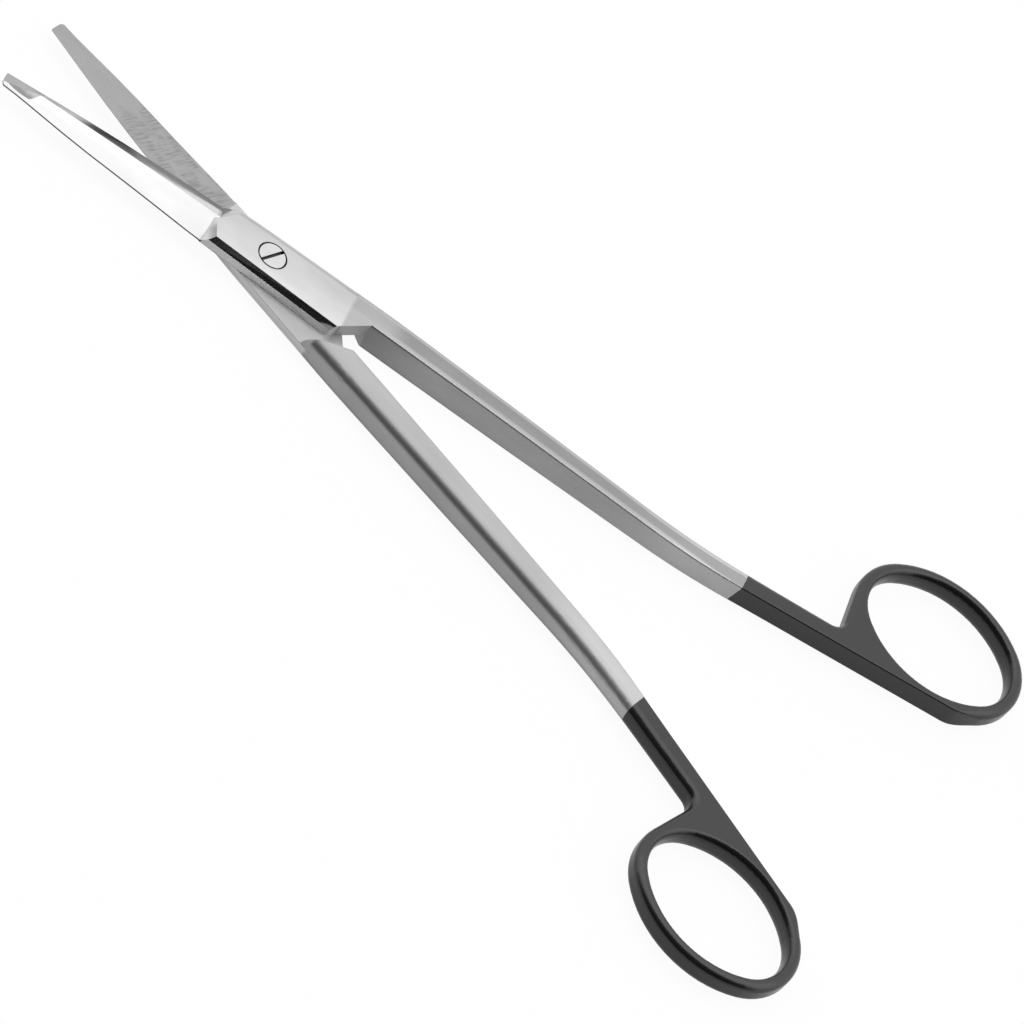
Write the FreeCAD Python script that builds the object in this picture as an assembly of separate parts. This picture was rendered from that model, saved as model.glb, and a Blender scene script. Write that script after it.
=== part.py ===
import FreeCAD, Part
import math
import os

os.makedirs("parts", exist_ok=True)

V = FreeCAD.Vector

# Facelift scissors: two steel halves that cross at a slotted pivot screw.
# One half is built lying closed along +X, inner face on z = 0, its ring toward +Y.

# Half the angle between the two halves as the scissors lie, in degrees
rest_half_angle = 9.45

# Joint plate of one half
plate_thickness = 3.45
plate_front_x = -14.0
plate_side_front_y = -5.45
plate_side_back_x = 17.6
plate_side_back_y = -6.34
side_bevel_height = 1.45
side_bevel_width = 0.7

# Shank: straight inner side, bent outward once on its way to the ring
inner_side_y = 0.2
shoulder_x = 24.4
bend_x = 104.9
bend_slope = 0.1425
bend_radius = 150.0
# corners of the outer side: x, y, radius; the last one is the bend, a little before the inner side's
outer_side = [
    (plate_front_x, 6.26, 0.0),
    (-4.0, 6.76, 150.0),
    (20.0, 6.98, 300.0),
    (bend_x - 1.4, 5.46, 180.0),
]
outer_slope = 0.116
crotch_radius = 3.0

# Height of the shank above and below the parting plane: corners of the side view and their radius
ring_half_height = 2.53
height_corners = [(34.0, plate_thickness), (60.0, 3.3), (bend_x + 16.1, ring_half_height)]
height_radius = 1000.0

# Step where the full height of the shank begins, clear of the other half's plate
step_gap = 0.2
step_slope = 1.1
step_draft = 0.21

# Finger ring: an oval of four arcs seen from above, and the web that joins it to the shank
ring_x = bend_x + 53.1
ring_long = 18.72
ring_short = 14.97
ring_end_radius = 12.6
ring_turn = -2.6
ring_tube = 1.49
web_angle = 185.0
ring_corner_radius = 6.0
# how far the straight inner side of the handle cuts into the oval
chord_depth = 0.73

# Edge rounding: outer side at joint, shank and ring, then the crisp inner side
joint_round = 2.6
joint_round_x = 18.5
shank_round = 2.2
shank_round_x = 28.0
ring_round = 1.6
inner_round = 0.4
# the ring's hole opens by a quarter oval
flare_width = 1.2
flare_height = 2.1
# a rounding takes no more than this share of half the height, and a bend no more than this share of a run
height_share = 0.8
run_share = 0.7

# Blade stations: x, spine y, ridge y, ridge height, cutting edge y
tip_x = -64.15
spine_set_in = 0.1
blade_stations = [
    (-11.0, plate_side_front_y + spine_set_in, 0.33, 3.35, 6.15),
    (-14.0, plate_side_front_y + spine_set_in, 0.44, 3.20, 6.10),
    (-25.0, -4.70, 0.97, 2.48, 5.55),
    (-40.0, -3.90, 0.95, 1.95, 4.42),
    (-52.0, -2.95, 0.75, 1.55, 3.15),
    (tip_x - 0.85, -1.95, 0.35, 1.10, 1.62),
]
spine_thickness = 0.45
edge_thickness = 0.08
face_bulge = 0.12
hollow_depth = 0.05
tip_spine_round = 1.4
tip_edge_round = 0.7
tip_facet_ridge = (tip_x + 8.8, 0.71, 1.45)
tip_facet_spine = (tip_x, -1.50, 0.68)
tip_facet_edge = (tip_x, 1.70, 0.25)

# Slopes at which the blade rises to the joint plate, in degrees
shoulder_rise = 50.0
bevel_rise = 37.0
bevel_end_x = -13.0

# Pivot screw
head_radius = 3.02
head_depth = 1.3
head_gap = 0.08
head_proud = 0.02
head_chamfer = 0.1
seat_gap = 0.02
slot_width = 0.7
slot_depth = 0.75
slot_angle = 68.0
shaft_radius = 2.0
shaft_gap = 0.04
thread_radius = 1.7
thread_gap = 0.02

# Cutting blocks: size of a large and of a small one, and how far a cutter runs past what it cuts
far = 2 * (ring_x + 2 * ring_long)
cut_width = ring_long
cut_margin = 1.0

# Points closer than this are one point, and edges that turn less than this angle run on smoothly
same_point = 1e-4
smooth_turn = 0.05


def above(point, along, rise):
    """Block that fills the upper side of the plane through point."""
    normal = along.cross(rise)
    if normal.z < 0:
        normal = normal * -1
    block = Part.makeBox(far, far, far, V(-far / 2, -far / 2, 0))
    block.Placement = FreeCAD.Placement(point, FreeCAD.Rotation(V(0, 0, 1), normal))
    return block


def line(start, end):
    return Part.LineSegment(start, end).toShape()


def blend(x, stations):
    """Value at x between (x, value) stations."""
    for (x0, v0), (x1, v1) in zip(stations, stations[1:]):
        if x <= x1:
            return v0 + (v1 - v0) * max(0.0, x - x0) / (x1 - x0)
    return stations[-1][1]


def rounded_path(corners):
    """Straight runs through the corners, each (point, radius), joined by tangent arcs that fit the runs."""
    edges = []
    start = corners[0][0]
    for (before, _), (corner, radius), (after, _) in zip(corners, corners[1:], corners[2:]):
        come = (corner - before).normalize()
        leave = (after - corner).normalize()
        turn = come.getAngle(leave)
        room = run_share * min(corner.distanceToPoint(before), corner.distanceToPoint(after))
        reach = min(room, radius * math.tan(turn / 2))
        radius = reach / math.tan(turn / 2)
        arc_start = corner - come * reach
        arc_end = corner + leave * reach
        inward = (leave - come).normalize()
        arc_middle = corner + inward * (radius / math.cos(turn / 2) - radius)
        edges.append(line(start, arc_start))
        edges.append(Part.Arc(arc_start, arc_middle, arc_end).toShape())
        start = arc_end
    edges.append(line(start, corners[-1][0]))
    return edges


def arc_about(centre, radius, start_angle, end_angle):
    """Arc between two angles, in degrees."""
    points = []
    for angle in (start_angle, (start_angle + end_angle) / 2, end_angle):
        turn = math.radians(angle)
        points.append(centre + V(math.cos(turn), math.sin(turn), 0) * radius)
    return Part.Arc(*points).toShape()


def ring_arcs():
    """Centres of the ring's end arcs (x) and side arcs (y), side radius, half the spread of an end arc."""
    reach = ring_long - ring_end_radius
    excess = reach ** 2 + ring_short ** 2 - ring_end_radius ** 2
    side_radius = excess / (2 * (ring_short - ring_end_radius))
    drop = side_radius - ring_short
    return reach, drop, side_radius, math.degrees(math.atan2(drop, reach))


def inner_line_y(x):
    """Inner side of the handle beyond the bend."""
    return inner_side_y + bend_slope * (x - bend_x)


def ring_centre():
    """Centre of the ring, so far off the straight inner side that this cuts chord_depth into the oval."""
    _, drop, side_radius, _ = ring_arcs()
    slope = math.atan(bend_slope)
    reach = side_radius + ring_tube - drop * math.cos(slope - math.radians(ring_turn))
    return V(ring_x, inner_line_y(ring_x) + (reach - chord_depth) / math.cos(slope), 0)


def ring_point(x, y):
    """Point of the ring's own axes in plan."""
    return ring_centre() + FreeCAD.Rotation(V(0, 0, 1), ring_turn).multVec(V(x, y, 0))


def quarter_oval(centre, side):
    """Quarter of an upright oval, from its top or bottom to its near side."""
    tip = centre + V(0, 0, side * flare_height)
    oval = Part.Ellipse(tip, centre - V(flare_width, 0, 0), centre)
    return Part.Arc(oval, 0, math.pi / 2).toShape()


def hole_sector(centre, inside, wall, start_angle, end_angle):
    """Sector of the ring's hole, from a radius inside to the upright wall and its quarter oval flares."""
    reach = ring_half_height + cut_margin
    flared = wall + flare_width
    foot = ring_half_height - flare_height
    edges = [
        line(V(inside, 0, -reach), V(inside, 0, reach)),
        line(V(inside, 0, reach), V(flared, 0, reach)),
        line(V(flared, 0, reach), V(flared, 0, ring_half_height)),
        quarter_oval(V(flared, 0, foot), 1),
        line(V(wall, 0, foot), V(wall, 0, -foot)),
        quarter_oval(V(flared, 0, -foot), -1),
        line(V(flared, 0, -ring_half_height), V(flared, 0, -reach)),
        line(V(flared, 0, -reach), V(inside, 0, -reach)),
    ]
    face = Part.Face(Part.Wire(edges))
    face.rotate(V(0, 0, 0), V(0, 0, 1), start_angle)
    return face.revolve(V(0, 0, 0), V(0, 0, 1), end_angle - start_angle).translated(centre)


def ring_hole():
    """The four sectors of the hole, parallel to the ring's centre line."""
    reach, drop, side_radius, spread = ring_arcs()
    end = ring_end_radius - ring_tube
    side = side_radius - ring_tube
    return [
        hole_sector(ring_point(reach, 0), 0, end, ring_turn - spread, ring_turn + spread),
        hole_sector(ring_point(0, -drop), drop, side, ring_turn + spread, ring_turn + 180 - spread),
        hole_sector(ring_point(-reach, 0), 0, end, ring_turn + 180 - spread, ring_turn + 180 + spread),
        hole_sector(ring_point(0, drop), drop, side, ring_turn + 180 + spread, ring_turn + 360 - spread),
    ]


def ring_sides():
    """Outer side of the ring from its low arc round to the web: centre, radius, start and end angle."""
    reach, drop, side_radius, spread = ring_arcs()
    end = ring_end_radius + ring_tube
    side = side_radius + ring_tube
    return [
        (ring_point(0, drop), side, ring_turn - 180 + spread, ring_turn - spread),
        (ring_point(reach, 0), end, ring_turn - spread, ring_turn + spread),
        (ring_point(0, -drop), side, ring_turn + spread, ring_turn + 180 - spread),
        (ring_point(-reach, 0), end, ring_turn + 180 - spread, web_angle),
    ]


def chord_end():
    """Where the straight inner side leaves the handle for the ring, and the ring's arcs from there on."""
    along = V(1, bend_slope, 0).normalize()
    sides = ring_sides()
    for i, (centre, radius, _, end) in enumerate(sides):
        foot = V(bend_x, inner_side_y, 0) - centre
        run = foot.dot(along)
        travel = -run + math.sqrt(run ** 2 - foot.Length ** 2 + radius ** 2)
        point = centre + foot + along * travel
        angle = math.degrees(math.atan2(point.y - centre.y, point.x - centre.x))
        if angle < end:
            return point, [(centre, radius, angle, end)] + sides[i + 1:]


def plan_face():
    """Outline of joint plate, shank, web and ring seen from above."""
    ring_hit, sides = chord_end()
    shoulder = V(shoulder_x, inner_side_y, 0)
    inner = rounded_path([(shoulder, 0), (V(bend_x, inner_side_y, 0), bend_radius), (ring_hit, 0)])
    ring = [arc_about(*side) for side in sides]

    # the web runs straight down from the ring to the outer side of the shank
    centre, radius, _, _ = sides[-1]
    turn = math.radians(web_angle)
    web_top = centre + V(math.cos(turn), math.sin(turn), 0) * radius
    down = V(-math.sin(turn), math.cos(turn), 0)
    bend = V(outer_side[-1][0], outer_side[-1][1], 0)
    travel = (bend.y + outer_slope * (web_top.x - bend.x) - web_top.y) / (down.y - outer_slope * down.x)
    crotch = web_top + down * travel
    outer = [(web_top, 0), (crotch, crotch_radius)] + [(V(x, y, 0), r) for x, y, r in reversed(outer_side)]

    front = V(plate_front_x, plate_side_front_y, 0)
    back = V(plate_side_back_x, plate_side_back_y, 0)
    plate = [line(outer[-1][0], front), line(front, back), line(back, shoulder)]
    return Part.Face(Part.Wire(inner + ring + rounded_path(outer) + plate))


def side_prism():
    """Side view of the half: level joint plate, tapering shank, level ring."""
    front = (plate_front_x - cut_margin, plate_thickness)
    end = (ring_x + ring_long + cut_width, ring_half_height)
    corners = [front] + height_corners + [end]
    top = rounded_path([(V(x, 0, h), height_radius) for x, h in corners])
    low = rounded_path([(V(x, 0, -h), height_radius) for x, h in reversed(corners)])
    ends = [[line(V(x, 0, h), V(x, 0, -h))] for x, h in (front, end)]
    wire = Part.Wire(top + ends[1] + low + ends[0])
    return Part.Face(wire).extrude(V(0, far, 0)).translated(V(0, -far / 2, 0))


def step_cutter():
    """All that lies below the parting plane in front of the shank's step."""
    foot_x = shoulder_x + step_gap + step_slope * inner_side_y
    corners = [
        V(foot_x + step_slope * cut_width, -cut_width, 0),
        V(foot_x - step_slope * cut_width, cut_width, 0),
        V(plate_front_x - cut_width, cut_width, 0),
        V(plate_front_x - cut_width, -cut_width, 0),
    ]
    face = Part.Face(Part.makePolygon(corners + corners[:1]))
    return face.extrude(V(step_draft, 0, -1) * cut_width)


def edge_ends(edge):
    return edge.valueAt(edge.FirstParameter), edge.valueAt(edge.LastParameter)


def nearest_edge(shape, point):
    """Index of the edge that passes nearest to the point."""
    vertex = Part.Vertex(point)
    return min(range(len(shape.Edges)), key=lambda i: vertex.distToShape(shape.Edges[i])[0])


def tangent_chain(shape, first):
    """Edges that run on smoothly from the first one, each with its two ends in travel order."""
    edges = shape.Edges
    chain = []
    used = {first}

    def follow(point, heading):
        found = []
        while True:
            step = None
            for i, edge in enumerate(edges):
                if i in used:
                    continue
                a, b = edge_ends(edge)
                first_way = edge.tangentAt(edge.FirstParameter)
                last_way = edge.tangentAt(edge.LastParameter)
                if a.distanceToPoint(point) < same_point and first_way.getAngle(heading) < smooth_turn:
                    step = (i, a, b, last_way)
                back_way = last_way * -1
                if b.distanceToPoint(point) < same_point and back_way.getAngle(heading) < smooth_turn:
                    step = (i, b, a, first_way * -1)
            if step is None:
                return found
            used.add(step[0])
            found.append(step[:3])
            point = step[2]
            heading = step[3]

    start, end = edge_ends(edges[first])
    chain.append((first, start, end))
    chain += follow(end, edges[first].tangentAt(edges[first].LastParameter))
    before = follow(start, edges[first].tangentAt(edges[first].FirstParameter) * -1)
    return chain + [(i, b, a) for i, a, b in before]


def rounding_at(point):
    """Radius of the edge rounding at a point of the outline."""
    ring_hit, _ = chord_end()
    near_inner = point.y < max(inner_side_y, inner_line_y(point.x)) + inner_round
    if near_inner and point.x < ring_hit.x + ring_tube:
        return inner_round
    bend_at = outer_side[-1][0]
    web_at = ring_x - ring_long
    joint = [(joint_round_x, joint_round), (shank_round_x, shank_round)]
    wanted = blend(point.x, joint + [(bend_at, shank_round), (web_at, ring_round)])
    return min(wanted, height_share * abs(point.z))


def round_outline(body, side):
    """Rounds the whole outline on one side, wide on the outer side and crisp on the inner side."""
    middle_x = (shoulder_x + bend_x) / 2
    seed = nearest_edge(body, V(middle_x, inner_side_y, side * blend(middle_x, height_corners)))
    chain = tangent_chain(body, seed)
    document = FreeCAD.newDocument("rounding")
    base = document.addObject("Part::Feature", "base")
    base.Shape = body
    fillet = document.addObject("Part::Fillet", "fillet")
    fillet.Base = base
    fillet.Edges = [(i + 1, rounding_at(a), rounding_at(b)) for i, a, b in chain]
    document.recompute()
    rounded = fillet.Shape.copy()
    FreeCAD.closeDocument(document.Name)
    return rounded


def handle_body():
    """Joint plate, shank, web and ring in one piece."""
    body = plan_face().extrude(V(0, 0, cut_width)).translated(V(0, 0, -cut_width / 2))
    body = body.common(side_prism()).cut(step_cutter()).removeSplitter().Solids[0]
    ring_hit, _ = chord_end()
    body = body.makeFillet(ring_corner_radius, [body.Edges[nearest_edge(body, ring_hit)]])
    body = round_outline(body, -1)
    body = round_outline(body, 1)
    for sector in ring_hole():
        body = body.cut(sector)
    return body.removeSplitter().Solids[0]


def blade_section(x, spine_y, ridge_y, ridge_z, edge_y):
    """Section of the blade: thin spine, slightly full outer face, ridge and cutting bevel."""
    spine_low = V(x, spine_y, hollow_depth)
    spine_top = V(x, spine_y, spine_thickness)
    ridge = V(x, ridge_y, ridge_z)
    edge_top = V(x, edge_y, hollow_depth + edge_thickness)
    edge_low = V(x, edge_y, hollow_depth)
    face_mid = (spine_top + ridge) * 0.5 + V(0, -face_bulge / 2, face_bulge)
    return Part.Wire([
        line(spine_low, spine_top),
        Part.Arc(spine_top, face_mid, ridge).toShape(),
        line(ridge, edge_top),
        line(edge_top, edge_low),
        line(edge_low, spine_low),
    ])


def tip_outline():
    """Prism around the blade with the two rounded corners of the tip."""
    first = blade_stations[-1]
    second = blade_stations[-2]
    root_x = blade_stations[0][0]

    def side(index, x):
        slope = (second[index] - first[index]) / (second[0] - first[0])
        return V(x, first[index] + slope * (x - first[0]), -cut_margin)

    corners = [
        side(1, tip_x),
        side(4, tip_x),
        side(4, second[0]) + V(0, cut_margin, 0),
        V(root_x, cut_width, -cut_margin),
        V(root_x, -cut_width, -cut_margin),
        side(1, second[0]) - V(0, cut_margin, 0),
    ]
    prism = Part.Face(Part.makePolygon(corners + corners[:1])).extrude(V(0, 0, cut_width))
    for corner, radius in zip(corners, (tip_spine_round, tip_edge_round)):
        upright = nearest_edge(prism, corner + V(0, 0, cut_width / 2))
        prism = prism.makeFillet(radius, [prism.Edges[upright]])
    return prism


def blade_body():
    """Blade from inside the joint plate to the blunt, faceted tip."""
    blade = Part.makeLoft([blade_section(*station) for station in blade_stations], True, False)
    blade = blade.common(tip_outline())
    ridge, spine, edge = V(*tip_facet_ridge), V(*tip_facet_spine), V(*tip_facet_edge)
    return blade.cut(above(ridge, spine - ridge, edge - ridge))


def side_bevel():
    """Cutting block for the leaning upper part of the joint plate's free side."""
    foot_z = plate_thickness - side_bevel_height
    front = V(plate_front_x, plate_side_front_y, foot_z)
    back = V(plate_side_back_x, plate_side_back_y, foot_z)
    return above(front, back - front, V(0, side_bevel_width, side_bevel_height))


def half_body():
    """One whole half, closed along +X."""
    x, spine_y, ridge_y, ridge_z, edge_y = blade_stations[1]
    spine = V(x, spine_y, spine_thickness)
    ridge = V(x, ridge_y, ridge_z)
    bevel_top = V(bevel_end_x, ridge_y, ridge_z)
    bevel_low = V(bevel_end_x, edge_y, hollow_depth + edge_thickness)
    rise = math.radians(shoulder_rise)
    ease = math.radians(bevel_rise)
    body = handle_body()
    body = body.cut(side_bevel())
    body = body.cut(above(spine, ridge - spine, V(math.cos(rise), 0, math.sin(rise))))
    body = body.cut(above(bevel_top, bevel_low - bevel_top, V(math.cos(ease), 0, math.sin(ease))))
    return body.fuse(blade_body()).Solids[0]


def round_bar(radius, low, high):
    return Part.makeCylinder(radius, high - low, V(0, 0, low))


def pivot_screw():
    """Slotted screw: flush head, running shaft, narrower threaded end held in the lower half."""
    top = plate_thickness + head_proud
    seat = plate_thickness - head_depth + seat_gap
    head = round_bar(head_radius, seat, top)
    rim = head.Edges[nearest_edge(head, V(-head_radius, 0, top))]
    head = head.makeChamfer(head_chamfer, [rim])
    slot_corner = V(-cut_width / 2, -slot_width / 2, top - slot_depth)
    slot = Part.makeBox(cut_width, slot_width, slot_depth, slot_corner)
    slot.rotate(V(0, 0, 0), V(0, 0, 1), slot_angle)
    shaft = round_bar(shaft_radius, 0, seat)
    thread = round_bar(thread_radius, -plate_thickness, 0)
    return head.cut(slot).fuse([shaft, thread]).removeSplitter().Solids[0]


def place(shape, turn):
    """Turns a part about the pivot and lifts it so that the lower plate rests on z = 0."""
    placed = shape.copy()
    placed.rotate(V(0, 0, 0), V(0, 0, 1), turn)
    placed.translate(V(0, 0, plate_thickness))
    return placed


def main():
    half = half_body()
    above_plate = plate_thickness + cut_margin
    seat = round_bar(head_radius + head_gap, plate_thickness - head_depth, above_plate)
    bore = round_bar(shaft_radius + shaft_gap, -cut_margin, above_plate)
    upper = half.cut(seat).cut(bore)
    turned = half.copy()
    turned.rotate(V(0, 0, 0), V(1, 0, 0), 180)
    lower = turned.cut(round_bar(thread_radius + thread_gap, -above_plate, cut_margin))
    place(upper.Solids[0], rest_half_angle).exportStep("parts/upper_half.step")
    place(lower.Solids[0], -rest_half_angle).exportStep("parts/lower_half.step")
    place(pivot_screw(), 0).exportStep("parts/pivot_screw.step")


main()
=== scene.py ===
"""Facelift scissors: the looks of the two steel halves and their pivot screw, in metres."""

import logging
import math
from dataclasses import dataclass, field
from enum import Enum
from typing import Optional, Union

import bpy
from mathutils import Matrix, Vector

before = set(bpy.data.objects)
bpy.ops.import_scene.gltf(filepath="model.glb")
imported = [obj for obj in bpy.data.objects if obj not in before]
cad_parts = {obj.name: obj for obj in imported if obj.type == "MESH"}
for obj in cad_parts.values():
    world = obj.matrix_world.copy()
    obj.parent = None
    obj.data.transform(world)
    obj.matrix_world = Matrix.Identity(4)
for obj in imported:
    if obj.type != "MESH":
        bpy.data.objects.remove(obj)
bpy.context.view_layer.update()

log = logging.getLogger("scissors")

MM = 0.001
WHITE = (1.0, 1.0, 1.0, 1.0)

# length, width and height, or x, y and z
Triple = tuple[float, float, float]
# a node's output, or a plain number
Level = Union[bpy.types.NodeSocket, float]

# sizes of the solids that the finishes follow, in millimetres and degrees on a half's own axes
PLATE_MM = 3.45
PLATE_INNER_Y = -5.45
PLATE_OUTER_Y = 6.0
HALF_ANGLE_DEG = 9.45
PLATE_END_X = 18.5
COAT_START_X = 116.0
BLADE_END_X = -13.0
TIP_X = -64.15
RIDGE_Y = 0.65
# the cutting edge lies at y = CUT_EDGE_Y + CUT_EDGE_SLOPE * x
CUT_EDGE_Y = 6.26
CUT_EDGE_SLOPE = 0.0713


def linear(hex_colour: str) -> tuple[float, float, float, float]:
    """Turns an sRGB hex colour into linear light.

    Args:
        hex_colour: six hex digits, such as "c8c8ca".

    Returns:
        Red, green and blue from 0 to 1, and an alpha of 1.
    """
    channels = [int(hex_colour[i:i + 2], 16) / 255 for i in (0, 2, 4)]
    curved = [c / 12.92 if c <= 0.04045 else ((c + 0.055) / 1.055) ** 2.4 for c in channels]
    return (*curved, 1.0)


def add(tree: bpy.types.NodeTree, kind: str, links: Optional[dict] = None,
        **settings: object) -> bpy.types.Node:
    """Adds a shader node with its settings and links.

    Args:
        tree: node tree of the material or world.
        kind: Blender's name of the node type.
        links: output socket or constant for each input, by the input's name or number.
        settings: attributes of the node.

    Returns:
        The new node.
    """
    node = tree.nodes.new(kind)
    for name, value in settings.items():
        setattr(node, name, value)
    for name, value in (links or {}).items():
        socket = node.inputs[name]
        if isinstance(value, bpy.types.NodeSocket):
            tree.links.new(value, socket)
        else:
            socket.default_value = value
    return node


class Side(Enum):
    """Which half of the scissors."""

    UPPER = "upper"
    LOWER = "lower"


class Measure(Enum):
    """What a mask is read from: a place in millimetres, or a part of the surface's direction.

    X, Y and Z are places on the piece's own axes, HEIGHT is above the table, RADIUS is from the pivot's axis and
    SHARE runs from the blade's ridge (0) to its cutting edge (1). END_ON, SIDE_ON and FACE_ON are the surface's
    direction along x, y and z, and WALL is SIDE_ON without its sign.
    """

    X = "x"
    Y = "y"
    Z = "z"
    HEIGHT = "height"
    RADIUS = "radius"
    SHARE = "share"
    END_ON = "end_on"
    SIDE_ON = "side_on"
    FACE_ON = "face_on"
    WALL = "wall"


@dataclass(frozen=True)
class Band:
    """Stretch over which a mask rises smoothly from 0 at start to 1 at end, along a measure or another value."""

    measure: Union[Measure, bpy.types.NodeSocket]
    start: float
    end: float


@dataclass(frozen=True)
class Cells:
    """Soft uneven cells: their size, the number of finer layers on top, and their turn about z in radians."""

    size_mm: Triple
    detail: float = 2.0
    slant: float = 0.0


@dataclass(frozen=True)
class MetalFinish:
    """How one kind of ground steel looks: its colour, its shine and the depth of the marks left in it."""

    colour: str
    roughness: float
    marks_mm: float


@dataclass(frozen=True)
class CoatFinish:
    """How the black coating looks: its colour, its uneven shine, its thickness and its faint pebbling."""

    colour: str = "131314"
    roughness: float = 0.20
    dull_roughness: float = 0.32
    dull_patches: Cells = Cells((14.0, 5.0, 5.0))
    film_mm: float = 0.03
    pebbles: Cells = Cells((0.35, 0.35, 0.35))
    pebble_depth_mm: float = 0.0012


# mirror-polished stainless steel: bright, with the soft waves of the buffing wheel
POLISHED = MetalFinish("b7b7b7", 0.10, 0.0001)
# belt-ground stainless steel: an even light grey with fine streaks along the shank
SATIN = MetalFinish("9f9f9f", 0.48, 0.0030)
# the outer face of the shank, ground with deeper marks, its colour painted a shade darker as shade
BELT_GROUND_AND_SHADE = MetalFinish("828282", 0.44, 0.0045)
# inner face of the joint, lapped flat and matt so that the halves slide
LAPPED = MetalFinish("d0d0d0", 0.90, 0.0020)
# inner face of the blade, stone-ground straight across: darker, with short fine marks
STONE_GROUND = MetalFinish("8e8e8e", 0.42, 0.0220)
# free side of the joint plate, milled and left matt, its colour painted near white as light
MILLED_AND_PAINTED_LIGHT = MetalFinish("ececec", 0.85, 0.0010)
# slotted screw, turned and polished
TURNED = MetalFinish("bebebe", 0.13, 0.00024)
# black coating: smooth, semi-gloss, with a faint pebbling
COAT = CoatFinish()

# painted shadow in the gap round the screw's head, and grease in its slot, painted darker with depth as shade
PAINTED_GAP_SHADOW = "1a1a1a"
SLOT_GREASE_AND_SHADE = "4a4a4a"
# painted dark reflection on the blade's thin spine and on part of its bevel
DARK_PAINTED_REFLECTION = "565656"
# painted shade on the shoulder beside the joint
SHOULDER_PAINTED_SHADE = "888888"
# the strip along the cutting edge, honed a shade darker than the bevel
HONED = "b2b2b2"
# painted highlight on the bevel beside the joint
BEVEL_PAINTED_HIGHLIGHT = "dadada"
# painted shade on the outer face of the blade, a touch greyer than the joint
OUTER_FACE_PAINTED_SHADE = "a8a8a8"
# the flat ground at the tip, where it runs over onto the outer face, its colour painted darker as shade
FLAT_PAINTED_SHADE = "787878"

# where each finish lies: the joint's polish, the blade, and all that faces out from the parting plane
JOINT = Band(Measure.X, PLATE_END_X + 0.9, PLATE_END_X)
BLADE = Band(Measure.X, BLADE_END_X - 0.4, BLADE_END_X - 0.8)
OUTSIDE = Band(Measure.Z, 0.09, 0.13)
# the plate's milled side, painted lighter as light, and the belt marks on the shank's top with their painted shade,
# fainter beside the joint, leaving a lighter strip along the inner edge as painted highlight
FLANK = (Band(Measure.SIDE_ON, -0.93, -0.985), Band(Measure.X, -15.0, -14.0))
BELT_AND_SHADE_BANDS = (Band(Measure.FACE_ON, 0.85, 0.97), Band(Measure.Y, 0.9, 1.9))
FULL_BELT = Band(Measure.X, 27.0, 33.0)
# the shank's rounded outer side with its painted light, its inner wall and its foot near the table with their painted
# shade, and its end at the coating
ROUNDING_LIGHT_BANDS = (Band(Measure.SIDE_ON, 0.03, 0.2), Band(Measure.SIDE_ON, 0.99, 0.9))
INNER_WALL_SHADE_BANDS = (Band(Measure.SIDE_ON, -0.7, -0.9), Band(Measure.X, 42.0, 20.0))
FOOT_SHADE_BANDS = (Band(Measure.HEIGHT, 0.9, 0.2), Band(Measure.WALL, 0.8, 0.95))
SHANK_END = Band(Measure.X, 82.0, 106.0)
# the shoulder beside the joint with its painted shade, and the part of the joint that is crowned
SHOULDER_SHADE_BANDS = (Band(Measure.END_ON, -0.6, -0.7), Band(Measure.Z, 1.2, 3.2), Band(Measure.Y, -0.6, -3.2))
CROWNED = Band(Measure.X, -16.0, -9.0)
# the blade's spine with its painted dark reflection, its bevel with the painted highlight, the painted dark
# reflection and the honed part, and its outer face with its painted shade
SPINE_SHADE_BAND = Band(Measure.SIDE_ON, -0.6, -0.8)
BEVEL = Band(Measure.SIDE_ON, 0.40, 0.46)
BEVEL_HIGHLIGHT_BAND = Band(Measure.X, -34.0, -26.0)
DARK_BEVEL_BANDS = (Band(Measure.SHARE, 0.1, 0.5), Band(Measure.X, -32.0, -36.0), Band(Measure.X, -49.0, -43.0))
HONED_STRIP = Band(Measure.SHARE, 0.58, 0.74)
OUTER_FACE = (Band(Measure.SIDE_ON, -0.2, -0.3), Band(Measure.SIDE_ON, -0.6, -0.5))
# the stone's strokes on the blade's inner face, and the turn and the end of the flat at the tip
STROKES = Band(Measure.X, -45.0, -40.0)
FLAT_TURN = Band(Measure.X, TIP_X + 6.2, TIP_X + 8.8)
FLAT_END = Band(Measure.X, TIP_X + 8.9, TIP_X + 8.6)


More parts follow.
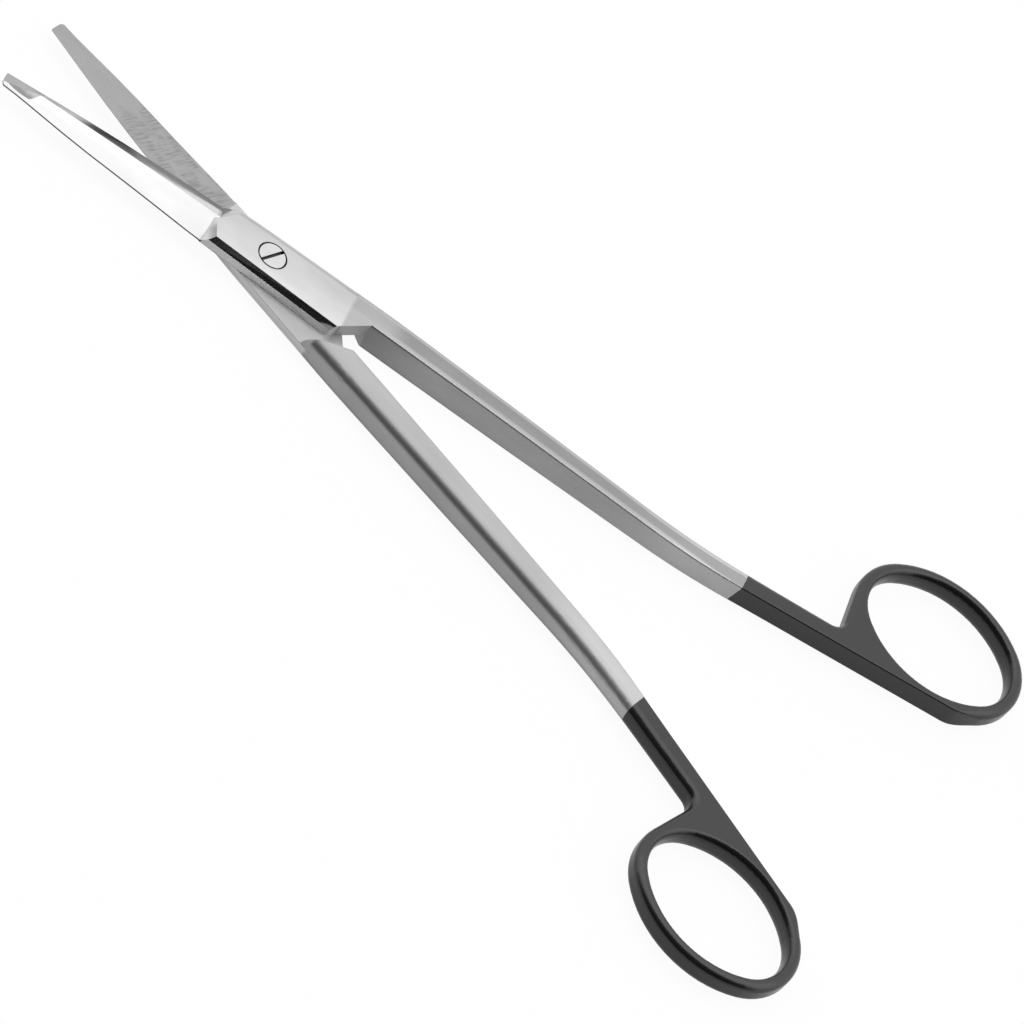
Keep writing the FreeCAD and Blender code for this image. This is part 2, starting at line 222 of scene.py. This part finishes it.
@dataclass
class Pattern:
    """A material under way: what its masks are read from, and its colour, roughness and marks so far."""

    name: str
    material: Optional[bpy.types.Material] = field(default=None, repr=False)
    tree: Optional[bpy.types.NodeTree] = field(default=None, repr=False)
    point: Optional[bpy.types.NodeSocket] = field(default=None, repr=False)
    measures: dict[Measure, bpy.types.NodeSocket] = field(default_factory=dict, repr=False)
    colour: Union[bpy.types.NodeSocket, tuple, None] = field(default=None, repr=False)
    roughness: Level = 0.0
    marks: Level = 0.0

    def begin(self, base: MetalFinish, location: Triple = (0.0, 0.0, 0.0), turn: Triple = (0.0, 0.0, 0.0)) -> None:
        """Starts the material, with the place and the direction of the surface on the piece's own axes.

        Args:
            base: finish that lies under all others.
            location: shift in millimetres from the row's axes to the piece's own.
            turn: turn in radians from the row's axes to the piece's own.
        """
        self.material = bpy.data.materials.new(self.name)
        self.material.use_nodes = True
        self.tree = self.material.node_tree
        self.tree.nodes.clear()
        self.colour, self.roughness, self.marks = linear(base.colour), base.roughness, base.marks_mm * MM
        coords = add(self.tree, "ShaderNodeTexCoord").outputs
        links = {"Vector": coords["Object"], "Location": location, "Rotation": turn, "Scale": (1 / MM,) * 3}
        self.point = add(self.tree, "ShaderNodeMapping", links).outputs[0]
        x, y, z = add(self.tree, "ShaderNodeSeparateXYZ", {0: self.point}).outputs
        links = {"Vector": coords["Normal"], "Rotation": turn}
        facing = add(self.tree, "ShaderNodeMapping", links, vector_type="NORMAL").outputs[0]
        end_on, side_on, face_on = add(self.tree, "ShaderNodeSeparateXYZ", {0: facing}).outputs
        above = add(self.tree, "ShaderNodeSeparateXYZ", {0: coords["Object"]}).outputs[2]
        height = add(self.tree, "ShaderNodeMath", {0: above, 1: MM}, operation="DIVIDE").outputs[0]
        wall = add(self.tree, "ShaderNodeMath", {0: side_on}, operation="ABSOLUTE").outputs[0]
        self.measures = {Measure.X: x, Measure.Y: y, Measure.Z: z, Measure.HEIGHT: height, Measure.END_ON: end_on,
                         Measure.SIDE_ON: side_on, Measure.FACE_ON: face_on, Measure.WALL: wall}

    def measure_radius(self, x_share: float = 1.0) -> None:
        """Measures the distance from the pivot's axis, as the root of the sum of x squared and y squared.

        Args:
            x_share: share of x that counts; less than 1 makes what is drawn round the axis longer along x.
        """
        y = self.measures[Measure.Y]
        links = {0: self.measures[Measure.X], 1: x_share}
        along = add(self.tree, "ShaderNodeMath", links, operation="MULTIPLY").outputs[0]
        links = {0: along, 1: along, 2: self.product(y, y)}
        total = add(self.tree, "ShaderNodeMath", links, operation="MULTIPLY_ADD").outputs[0]
        self.measures[Measure.RADIUS] = add(self.tree, "ShaderNodeMath", {0: total}, operation="SQRT").outputs[0]

    def product(self, *parts: Union[Band, Level]) -> bpy.types.NodeSocket:
        """Multiplies masks and numbers; a product of masks is 1 only where each of them is 1.

        Args:
            parts: masks, numbers, and bands, which are turned into masks first.

        Returns:
            The product.
        """
        factors = []
        for part in parts:
            if isinstance(part, Band):
                value = self.measures[part.measure] if isinstance(part.measure, Measure) else part.measure
                links = {"Value": value, "From Min": part.start, "From Max": part.end}
                part = add(self.tree, "ShaderNodeMapRange", links, interpolation_type="SMOOTHSTEP").outputs[0]
            factors.append(part)
        total = factors[0]
        for factor in factors[1:]:
            total = add(self.tree, "ShaderNodeMath", {0: total, 1: factor}, operation="MULTIPLY").outputs[0]
        return total

    def field_of(self, cells: Cells) -> bpy.types.NodeSocket:
        """Spreads uneven cells over the piece, for grain, clouds and strokes.

        Args:
            cells: their size, detail and slant.

        Returns:
            Value that wanders about 0.5.
        """
        point = self.point
        if cells.slant:
            links = {"Vector": point, "Rotation": (0.0, 0.0, cells.slant)}
            point = add(self.tree, "ShaderNodeMapping", links).outputs[0]
        links = {"Vector": point, "Scale": tuple(1 / size for size in cells.size_mm)}
        point = add(self.tree, "ShaderNodeMapping", links).outputs[0]
        links = {"Vector": point, "Scale": 1.0, "Detail": cells.detail}
        return add(self.tree, "ShaderNodeTexNoise", links).outputs[0]

    def lay(self, mask: Level, colour: str, roughness: Optional[Level] = None,
            marks_mm: Optional[float] = None) -> None:
        """Lays a finish over what is there already.

        Args:
            mask: 1 where the finish lies.
            colour: its colour, as six hex digits.
            roughness: its roughness, or None to leave what is there.
            marks_mm: depth of its marks, or None to leave what is there.
        """
        links = {0: mask, 6: self.colour, 7: linear(colour)}
        self.colour = add(self.tree, "ShaderNodeMix", links, data_type="RGBA").outputs[2]
        if roughness is not None:
            links = {"Value": mask, "To Min": self.roughness, "To Max": roughness}
            self.roughness = add(self.tree, "ShaderNodeMapRange", links).outputs[0]
        if marks_mm is not None:
            links = {"Value": mask, "To Min": self.marks, "To Max": marks_mm * MM}
            self.marks = add(self.tree, "ShaderNodeMapRange", links).outputs[0]

    def finish(self, metallic: Level, relief: Level) -> None:
        """Joins colour, shine and relief in one surface.

        Args:
            metallic: 1 on bare steel and 0 on the coating.
            relief: height in metres.
        """
        bump = add(self.tree, "ShaderNodeBump", {"Height": relief, "Strength": 1.0, "Distance": 1.0})
        links = {"Base Color": self.colour, "Metallic": metallic, "Roughness": self.roughness,
                 "Normal": bump.outputs[0]}
        shader = add(self.tree, "ShaderNodeBsdfPrincipled", links)
        add(self.tree, "ShaderNodeOutputMaterial", {"Surface": shader.outputs[0]})


@dataclass
class Half:
    """One steel half: polished blade and joint, satin shank, black coated handle and ring."""

    side: Side
    node_name: str
    # painted light on the shank's rounded outer side: lighter on the upper half as highlight, darker on the lower
    # half to dim its highlight
    rounding_colour: str = "8e8e8e"
    # the coating's edge: how wide it is, how it leans with z, and how far and in what cells it wanders
    coat_edge_mm: float = 0.12
    coat_slant: float = 0.13
    wander_mm: float = 0.3
    wander_cells: Cells = Cells((3.0, 1.5, 1.5))
    # the joint's crown: its height over so many millimetres from its middle, and the waves of the buffing wheel
    crown_mm: float = 0.18
    crown_reach_mm: float = 5.0
    crown_middle_y: float = 1.0
    wave_mm: float = 0.08
    wave_cells: Cells = Cells((9.0, 6.0, 9.0), 1.0)
    # streaks along the shank, and the stone's strokes across the blade, which come in patches
    streak_cells: Cells = Cells((9.0, 0.12, 0.12))
    stroke_cells: Cells = Cells((0.30, 4.5, 4.5), 1.5, math.radians(-16.0))
    stroke_range: tuple[float, float] = (0.40, 0.64)
    ground_cells: Cells = Cells((8.0, 3.0, 3.0))
    ground_range: tuple[float, float] = (0.40, 0.55)
    # share of the belt's marks and painted shade beside the joint
    faint_belt: float = 0.3
    # clouds of uneven grinding, the lighter end of the shank, the painted shade on the inner wall and at the foot,
    # and the darker stone strokes
    cloud_cells: Cells = Cells((12.0, 4.0, 4.0), 3.0)
    cloud_dark: float = 0.86
    cloud_light: float = 1.10
    shank_end_lift: float = 0.22
    inner_wall_shade_tone: float = 0.66
    stroke_tone: float = 0.74
    foot_shade_tone: float = 0.74
    # painted shadow in the gap round the screw's head, a touch longer along x
    gap_inner_mm: float = 3.15
    gap_outer_mm: float = 3.3
    gap_stretch: float = 0.97
    # the flat at the tip: the lowest point of its border, and the border's shape
    flat_low: tuple[float, float] = (-59.4, -1.62)
    flat_half_length_mm: float = 3.2
    flat_rise_mm: float = 0.32
    flat_turn_mm: float = 2.6
    flat_edge_mm: float = 0.06
    masks: dict[str, bpy.types.NodeSocket] = field(default_factory=dict, repr=False)

    def start(self) -> Pattern:
        """Starts the material on the half's own axes, and measures the blade's share and the radius.

        The upper half is turned about the pivot by the half angle, the lower one is turned over first,
        so that both have x toward the handles, y toward their own ring and z = 0 on the parting plane.
        The share is the way past the ridge over the bevel's width, and that width grows evenly with x.

        Returns:
            The material under way.
        """
        upper = self.side is Side.UPPER
        work = Pattern(f"ground_steel_{self.side.value}")
        turn = (0.0 if upper else math.pi, 0.0, -math.radians(HALF_ANGLE_DEG))
        work.begin(SATIN, (0.0, 0.0, -PLATE_MM if upper else PLATE_MM), turn)
        links = {0: work.measures[Measure.X], 1: CUT_EDGE_SLOPE, 2: CUT_EDGE_Y - RIDGE_Y}
        width = add(work.tree, "ShaderNodeMath", links, operation="MULTIPLY_ADD").outputs[0]
        links = {0: work.measures[Measure.Y], 1: RIDGE_Y}
        beyond = add(work.tree, "ShaderNodeMath", links, operation="SUBTRACT").outputs[0]
        share = add(work.tree, "ShaderNodeMath", {0: beyond, 1: width}, operation="DIVIDE").outputs[0]
        work.measures[Measure.SHARE] = share
        work.measure_radius(self.gap_stretch)
        return work

    def coat_mask(self, work: Pattern) -> bpy.types.NodeSocket:
        """Finds the black coating: it starts at an x that leans evenly with z and wanders.

        Args:
            work: the material under way.

        Returns:
            Mask of the coating.
        """
        links = {0: work.measures[Measure.Z], 1: self.coat_slant, 2: COAT_START_X - self.wander_mm / 2}
        edge = add(work.tree, "ShaderNodeMath", links, operation="MULTIPLY_ADD").outputs[0]
        links = {0: work.field_of(self.wander_cells), 1: self.wander_mm, 2: edge}
        edge = add(work.tree, "ShaderNodeMath", links, operation="MULTIPLY_ADD").outputs[0]
        links = {0: work.measures[Measure.X], 1: edge}
        past = add(work.tree, "ShaderNodeMath", links, operation="SUBTRACT").outputs[0]
        return work.product(Band(past, 0.0, self.coat_edge_mm))

    def flat_mask(self, work: Pattern) -> bpy.types.NodeSocket:
        """Finds the flat ground at the tip.

        Its lower border rises with the square of the way along x from its lowest point, and turns up to the
        cutting edge at its end.

        Args:
            work: the material under way.

        Returns:
            Mask of the flat.
        """
        middle, low = self.flat_low
        links = {0: work.measures[Measure.X], 1: middle}
        off = add(work.tree, "ShaderNodeMath", links, operation="SUBTRACT").outputs[0]
        links = {0: off, 1: self.flat_half_length_mm}
        part = add(work.tree, "ShaderNodeMath", links, operation="DIVIDE").outputs[0]
        border = low
        for mask, height in ((work.product(part, part), self.flat_rise_mm),
                             (work.product(FLAT_TURN), self.flat_turn_mm)):
            links = {0: mask, 1: height, 2: border}
            border = add(work.tree, "ShaderNodeMath", links, operation="MULTIPLY_ADD").outputs[0]
        links = {0: work.measures[Measure.Y], 1: border}
        over = add(work.tree, "ShaderNodeMath", links, operation="SUBTRACT").outputs[0]
        return work.product(Band(over, -self.flat_edge_mm, self.flat_edge_mm), FLAT_END)

    def find_masks(self, work: Pattern) -> None:
        """Finds where each finish lies, and keeps the masks under their names.

        Args:
            work: the material under way.
        """
        coat, flat = self.coat_mask(work), self.flat_mask(work)
        joint, blade, outside = (work.product(band) for band in (JOINT, BLADE, OUTSIDE))
        bare, inside, shank, unflat = (
            add(work.tree, "ShaderNodeMath", {0: 1.0, 1: mask}, operation="SUBTRACT").outputs[0]
            for mask in (coat, outside, joint, flat))
        buffed = work.product(joint, outside)
        polish = work.product(buffed, unflat)
        bevel = work.product(blade, polish, BEVEL)
        # the blade's outer face, where painted shade is laid
        outer_face_shade = work.product(blade, outside, *OUTER_FACE)
        stone = work.product(inside, blade)
        fine = Band(work.field_of(self.stroke_cells), *self.stroke_range)
        ground = Band(work.field_of(self.ground_cells), *self.ground_range)
        links = {"Value": work.product(FULL_BELT), "To Min": self.faint_belt, "To Max": 1.0}
        belt_share = add(work.tree, "ShaderNodeMapRange", links).outputs[0]
        self.masks = {
            "coat": coat, "bare": bare, "outside": outside, "buffed": buffed, "polish": polish, "stone": stone,
            "lapped": work.product(inside, joint), "flank": work.product(joint, outside, *FLANK),
            # belt: the top's ground finish, its colour painted darker as shade
            # rounding: painted light on the shank's rounded outer side
            "belt_and_painted_shade": work.product(belt_share, *BELT_AND_SHADE_BANDS), "rounding": work.product(shank, *ROUNDING_LIGHT_BANDS),
            # the inner wall and the foot near the table get painted shade
            "inner_wall_painted_shade": work.product(shank, *INNER_WALL_SHADE_BANDS), "foot": work.product(shank, *FOOT_SHADE_BANDS),
            # spine: painted dark reflection on the blade's spine
            # the shoulder beside the joint gets painted shade
            "shoulder_painted_shade": work.product(polish, *SHOULDER_SHADE_BANDS), "spine_painted_shade": work.product(blade, outside, SPINE_SHADE_BAND),
            # bright: painted highlight on the bevel beside the joint
            # the bevel's dark part is a painted dark reflection
            "bright": work.product(bevel, BEVEL_HIGHLIGHT_BAND), "dark_bevel_reflection": work.product(bevel, *DARK_BEVEL_BANDS),
            # the outer face and its flat at the tip get painted shade
            "honed": work.product(bevel, HONED_STRIP), "outer_face_shade": work.product(outer_face_shade, polish),
            "flat_painted_shade": work.product(outer_face_shade, flat), "strokes": work.product(fine, stone, ground, STROKES)}

    def lay_steel(self, work: Pattern) -> None:
        """Lays the finishes of the bare steel one over the other, and then its painted light and shade, its clouds
        and its strokes.

        Args:
            work: the material under way.
        """
        # the belt's finish paints the shank's top darker as shade
        # the flank's finish paints the plate's side near white as light
        finishes = {"belt_and_painted_shade": BELT_GROUND_AND_SHADE, "lapped": LAPPED, "stone": STONE_GROUND, "polish": POLISHED, "flank": MILLED_AND_PAINTED_LIGHT}
        for name, finish in finishes.items():
            work.lay(self.masks[name], finish.colour, finish.roughness, finish.marks_mm)
        # painted light and shade laid as colour, and the honed strip
        shades = {"rounding": self.rounding_colour, "spine_painted_shade": DARK_PAINTED_REFLECTION, "shoulder_painted_shade": SHOULDER_PAINTED_SHADE, "bright": BEVEL_PAINTED_HIGHLIGHT,
                  "honed": HONED, "dark_bevel_reflection": DARK_PAINTED_REFLECTION, "outer_face_shade": OUTER_FACE_PAINTED_SHADE, "flat_painted_shade": FLAT_PAINTED_SHADE}
        for name, shade in shades.items():
            work.lay(self.masks[name], shade)

        links = {"Value": work.field_of(self.cloud_cells), "To Min": self.cloud_dark, "To Max": self.cloud_light}
        clouds = add(work.tree, "ShaderNodeMapRange", links).outputs[0]
        links = {0: work.product(SHANK_END), 1: self.shank_end_lift, 2: clouds}
        tones = [add(work.tree, "ShaderNodeMath", links, operation="MULTIPLY_ADD").outputs[0]]
        # painted shade on the inner wall and at the foot; the strokes are the stone's own marks
        darker = {"inner_wall_painted_shade": self.inner_wall_shade_tone, "strokes": self.stroke_tone, "foot": self.foot_shade_tone}
        for name, tone in darker.items():
            links = {"Value": self.masks[name], "To Min": 1.0, "To Max": tone}
            tones.append(add(work.tree, "ShaderNodeMapRange", links).outputs[0])
        links = {0: work.colour, 1: work.product(*tones)}
        work.colour = add(work.tree, "ShaderNodeVectorMath", links, operation="MULTIPLY").outputs[0]

    def lay_coat(self, work: Pattern) -> None:
        """Lays the black coating over the handle end, with duller patches.

        Args:
            work: the material under way.
        """
        links = {"Value": work.field_of(COAT.dull_patches), "To Min": COAT.roughness, "To Max": COAT.dull_roughness}
        roughness = add(work.tree, "ShaderNodeMapRange", links).outputs[0]
        work.lay(self.masks["coat"], COAT.colour, roughness)

    def crown(self, work: Pattern) -> bpy.types.NodeSocket:
        """Crowns the joint's top: it falls with the square of the way off its middle, and waves.

        Args:
            work: the material under way.

        Returns:
            Height in metres.
        """
        links = {0: work.measures[Measure.Y], 1: PLATE_INNER_Y}
        kept = add(work.tree, "ShaderNodeMath", links, operation="MAXIMUM").outputs[0]
        kept = add(work.tree, "ShaderNodeMath", {0: kept, 1: PLATE_OUTER_Y}, operation="MINIMUM").outputs[0]
        links = {0: kept, 1: self.crown_middle_y}
        off = add(work.tree, "ShaderNodeMath", links, operation="SUBTRACT").outputs[0]
        waves = work.product(work.field_of(self.wave_cells), self.wave_mm * MM)
        fall = -self.crown_mm / self.crown_reach_mm ** 2 * MM
        links = {0: work.product(off, off, CROWNED), 1: fall, 2: waves}
        return add(work.tree, "ShaderNodeMath", links, operation="MULTIPLY_ADD").outputs[0]

    def relief(self, work: Pattern) -> bpy.types.NodeSocket:
        """Adds up the streaks in the bare steel, the joint's crown, and the coating's film with its pebbles.

        Args:
            work: the material under way.

        Returns:
            Height in metres.
        """
        links = {"Value": self.masks["strokes"], "To Min": work.field_of(self.streak_cells), "To Max": 0.0}
        streaks = add(work.tree, "ShaderNodeMapRange", links).outputs[0]
        links = {0: work.product(streaks, work.marks, self.masks["bare"]),
                 1: work.product(self.crown(work), self.masks["buffed"])}
        height = add(work.tree, "ShaderNodeMath", links, operation="ADD").outputs[0]
        pebbles = work.product(self.masks["coat"], work.field_of(COAT.pebbles))
        for mask, rise_mm in ((self.masks["coat"], COAT.film_mm), (pebbles, COAT.pebble_depth_mm)):
            links = {0: mask, 1: rise_mm * MM, 2: height}
            height = add(work.tree, "ShaderNodeMath", links, operation="MULTIPLY_ADD").outputs[0]
        return height

    def build_material(self) -> bpy.types.Material:
        """Builds the material of the whole half.

        Returns:
            Bare steel in its finishes, with the black coating over its handle end.
        """
        work = self.start()
        self.find_masks(work)
        self.lay_steel(work)
        if self.side is Side.UPPER:
            # painted shadow in the gap round the screw's head
            gap_shadow = Band(Measure.RADIUS, self.gap_outer_mm, self.gap_inner_mm)
            work.lay(work.product(self.masks["outside"], gap_shadow), PAINTED_GAP_SHADOW)
        self.lay_coat(work)
        work.finish(self.masks["bare"], self.relief(work))
        return work.material

    def dress(self) -> None:
        """Puts the material on the half's solid."""
        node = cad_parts[self.node_name]
        node.data.materials.clear()
        node.data.materials.append(self.build_material())
        log.info("%s dressed in satin and polished steel with a black handle", self.node_name)


@dataclass
class PivotScrew:
    """The slotted screw at the pivot."""

    node_name: str = "pivot_screw"
    head_radius_mm: float = 3.02
    rim_mm: float = 0.12
    top_mm: float = 2 * PLATE_MM + 0.02
    # below the top: where the head ends, and where the slot's grease and painted shade begin
    head_depth_mm: float = 2.0
    head_fade_mm: float = 0.5
    slot_dark_starts_mm: float = 0.04
    slot_dark_full_mm: float = 0.16
    ring_mm: float = 0.16
    wave_mm: float = 0.10
    wave_cells: Cells = Cells((4.0, 3.0, 4.0), 1.0)
    greasy_roughness: float = 0.5
    grease_cover: float = 0.6

    def build_material(self) -> bpy.types.Material:
        """Builds polished steel, with a greasy slot painted darker as shade and painted shadow at the rim.

        Its turning rings are a sine of the radius, and waves of the buffing wheel lie under them.

        Returns:
            The screw's material.
        """
        work = Pattern("turned_steel")
        work.begin(TURNED)
        work.measure_radius()
        foot = self.top_mm - self.head_depth_mm
        head = work.product(Band(Measure.Z, foot, foot + self.head_fade_mm))
        slot = Band(Measure.Z, self.top_mm - self.slot_dark_starts_mm, self.top_mm - self.slot_dark_full_mm)
        slot_grease_and_shade = work.product(head, slot)
        # the slot: less metallic and rougher, its colour painted darker with depth as shade
        work.lay(slot_grease_and_shade, SLOT_GREASE_AND_SHADE, self.greasy_roughness)
        # painted shadow at the rim of the screw's head
        rim = Band(Measure.RADIUS, self.head_radius_mm - self.rim_mm, self.head_radius_mm)
        work.lay(work.product(head, rim), PAINTED_GAP_SHADOW)
        turns = work.product(work.measures[Measure.RADIUS], 2 * math.pi / self.ring_mm)
        rings = add(work.tree, "ShaderNodeMath", {0: turns}, operation="SINE").outputs[0]
        links = {0: work.field_of(self.wave_cells), 1: self.wave_mm * MM, 2: work.product(rings, work.marks)}
        relief = add(work.tree, "ShaderNodeMath", links, operation="MULTIPLY_ADD").outputs[0]
        links = {0: 1.0, 1: work.product(slot_grease_and_shade, self.grease_cover)}
        metallic = add(work.tree, "ShaderNodeMath", links, operation="SUBTRACT").outputs[0]
        work.finish(metallic, relief)
        return work.material

    def dress(self) -> None:
        """Puts the material on the screw."""
        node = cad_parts[self.node_name]
        node.data.materials.clear()
        node.data.materials.append(self.build_material())
        log.info("%s dressed in turned steel", self.node_name)


@dataclass
class Studio:
    """Pale floor, soft box overhead, bright surroundings that leave the camera's side dark, and the camera."""

    floor_size: float = 12.0
    floor_below: float = 0.0002
    floor_colour: str = "dadada"
    # share of plain white in the floor: as the camera sees it, and in reflections near the object and behind it
    white_seen: float = 0.95
    white_near: float = 0.6
    white_far: float = 1.0
    near_y: float = 0.08
    far_y: float = 0.45
    box_radiance: float = 0.6
    box_height: float = 1.5
    box_length: float = 7.0
    box_x: float = 0.05
    box_front_y: float = -0.35
    box_back_y: float = 0.95
    # brightness of the walls: beside the object, behind it from this direction's y on, and its share at the floor
    wall_side: float = 1.9
    wall_back: float = 1.2
    wall_back_y: float = 0.45
    wall_foot: float = 0.75
    # brightness of the camera's side, low and high, and the directions' z that they go by
    dark_low: float = 0.02
    dark_high: float = 0.10
    dark_low_z: float = 0.25
    dark_high_z: float = 0.7
    # directions' y at which the camera's side and the walls begin to mix, and at which the walls are full
    dark_until_y: float = -0.32
    walls_from_y: float = -0.16
    # row-frame directions of the photograph's right and down, and the pivot's place before the camera in mm
    right: tuple[float, float, float] = (0.740, 0.467, 0.484)
    down: tuple[float, float, float] = (0.673, -0.523, -0.524)
    shift_mm: tuple[float, float, float] = (-49.46, -49.42, 2281.48)
    focal_px: float = 11407.0
    picture_px: float = 1024.0
    sensor_mm: float = 36.0
    clip_near: float = 0.1
    clip_far: float = 100.0

    def floor(self) -> None:
        """White paper: what looks at it sees mostly white, and it keeps a soft shadow."""
        bpy.ops.mesh.primitive_plane_add(size=self.floor_size, location=(0.0, 0.0, -self.floor_below))
        floor = bpy.context.object
        floor.name = "floor"
        paper = bpy.data.materials.new("white_paper")
        paper.use_nodes = True
        tree = paper.node_tree
        tree.nodes.clear()
        rays = add(tree, "ShaderNodeLightPath").outputs
        links = {0: rays["Is Glossy Ray"], 1: rays["Is Transmission Ray"]}
        mirrored = add(tree, "ShaderNodeMath", links, operation="MAXIMUM").outputs[0]
        place = add(tree, "ShaderNodeTexCoord").outputs["Object"]
        y = add(tree, "ShaderNodeSeparateXYZ", {0: place}).outputs[1]
        links = {"Value": y, "From Min": self.near_y, "From Max": self.far_y, "To Min": self.white_near,
                 "To Max": self.white_far}
        back = add(tree, "ShaderNodeMapRange", links).outputs[0]
        mirrored = add(tree, "ShaderNodeMath", {0: mirrored, 1: back}, operation="MULTIPLY").outputs[0]
        links = {0: rays["Is Camera Ray"], 1: self.white_seen, 2: mirrored}
        share = add(tree, "ShaderNodeMath", links, operation="MULTIPLY_ADD").outputs[0]
        matt = add(tree, "ShaderNodeBsdfDiffuse", {"Color": linear(self.floor_colour)}).outputs[0]
        white = add(tree, "ShaderNodeEmission", {"Color": WHITE, "Strength": 1.0}).outputs[0]
        mixed = add(tree, "ShaderNodeMixShader", {0: share, 1: matt, 2: white}).outputs[0]
        add(tree, "ShaderNodeOutputMaterial", {"Surface": mixed})
        floor.data.materials.append(paper)

    def soft_box(self) -> None:
        """Long soft box overhead, whose front edge leaves the surfaces that lean to the camera dark."""
        box = bpy.data.lights.new("overhead_soft_box", "AREA")
        box.shape = "RECTANGLE"
        box.size = self.box_length
        box.size_y = self.box_back_y - self.box_front_y
        box.energy = self.box_radiance * math.pi * box.size * box.size_y
        lamp = bpy.data.objects.new("overhead_soft_box", box)
        lamp.location = (self.box_x, (self.box_front_y + self.box_back_y) / 2, self.box_height)
        bpy.context.scene.collection.objects.link(lamp)

    def surroundings(self) -> None:
        """Bright walls behind and beside the object that fade toward the floor, and a dark camera side."""
        world = bpy.data.worlds.new("studio")
        bpy.context.scene.world = world
        world.use_nodes = True
        tree = world.node_tree
        tree.nodes.clear()
        direction = add(tree, "ShaderNodeTexCoord").outputs["Generated"]
        _, to_back, upward = add(tree, "ShaderNodeSeparateXYZ", {0: direction}).outputs
        links = {"Value": to_back, "From Min": self.wall_back_y, "To Min": self.wall_side,
                 "To Max": self.wall_back}
        wall = add(tree, "ShaderNodeMapRange", links).outputs[0]
        rise = add(tree, "ShaderNodeMapRange", {"Value": upward, "To Min": self.wall_foot}).outputs[0]
        lit = add(tree, "ShaderNodeMath", {0: wall, 1: rise}, operation="MULTIPLY").outputs[0]
        links = {"Value": upward, "From Min": self.dark_low_z, "From Max": self.dark_high_z,
                 "To Min": self.dark_low, "To Max": self.dark_high}
        dark = add(tree, "ShaderNodeMapRange", links).outputs[0]
        links = {"Value": to_back, "From Min": self.dark_until_y, "From Max": self.walls_from_y}
        open_side = add(tree, "ShaderNodeMapRange", links, interpolation_type="SMOOTHSTEP").outputs[0]
        level = add(tree, "ShaderNodeMapRange", {"Value": open_side, "To Min": dark, "To Max": lit}).outputs[0]
        glow = add(tree, "ShaderNodeBackground", {"Color": WHITE, "Strength": level}).outputs[0]
        add(tree, "ShaderNodeOutputWorld", {"Surface": glow})

    def camera(self) -> None:
        """Camera at the photograph's angle and distance."""
        lens = bpy.data.cameras.new("camera")
        lens.sensor_width = self.sensor_mm
        lens.lens = self.sensor_mm * self.focal_px / self.picture_px
        lens.clip_start = self.clip_near
        lens.clip_end = self.clip_far
        camera = bpy.data.objects.new("camera", lens)
        right, down = Vector(self.right).normalized(), Vector(self.down)
        forward = right.cross(down).normalized()
        down = forward.cross(right).normalized()
        across, below, ahead = self.shift_mm
        centre = -(right * across + down * below + forward * ahead) * MM + Vector((0.0, 0.0, PLATE_MM * MM))
        axes = Matrix((right, -down, -forward)).transposed()
        camera.matrix_world = Matrix.Translation(centre) @ axes.to_4x4()
        bpy.context.scene.collection.objects.link(camera)
        bpy.context.scene.camera = camera

    def build(self) -> None:
        """Sets up the whole studio."""
        self.floor()
        self.soft_box()
        self.surroundings()
        self.camera()
        log.info("studio set up")


def main() -> None:
    """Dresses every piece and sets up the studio."""
    # the upper half's rounded side is painted lighter as highlight
    Half(Side.UPPER, "upper_half", rounding_colour="b0b0b0").dress()
    Half(Side.LOWER, "lower_half").dress()
    PivotScrew().dress()
    Studio().build()
    bpy.context.scene.view_settings.view_transform = "Standard"


if __name__ == "__main__":
    main()
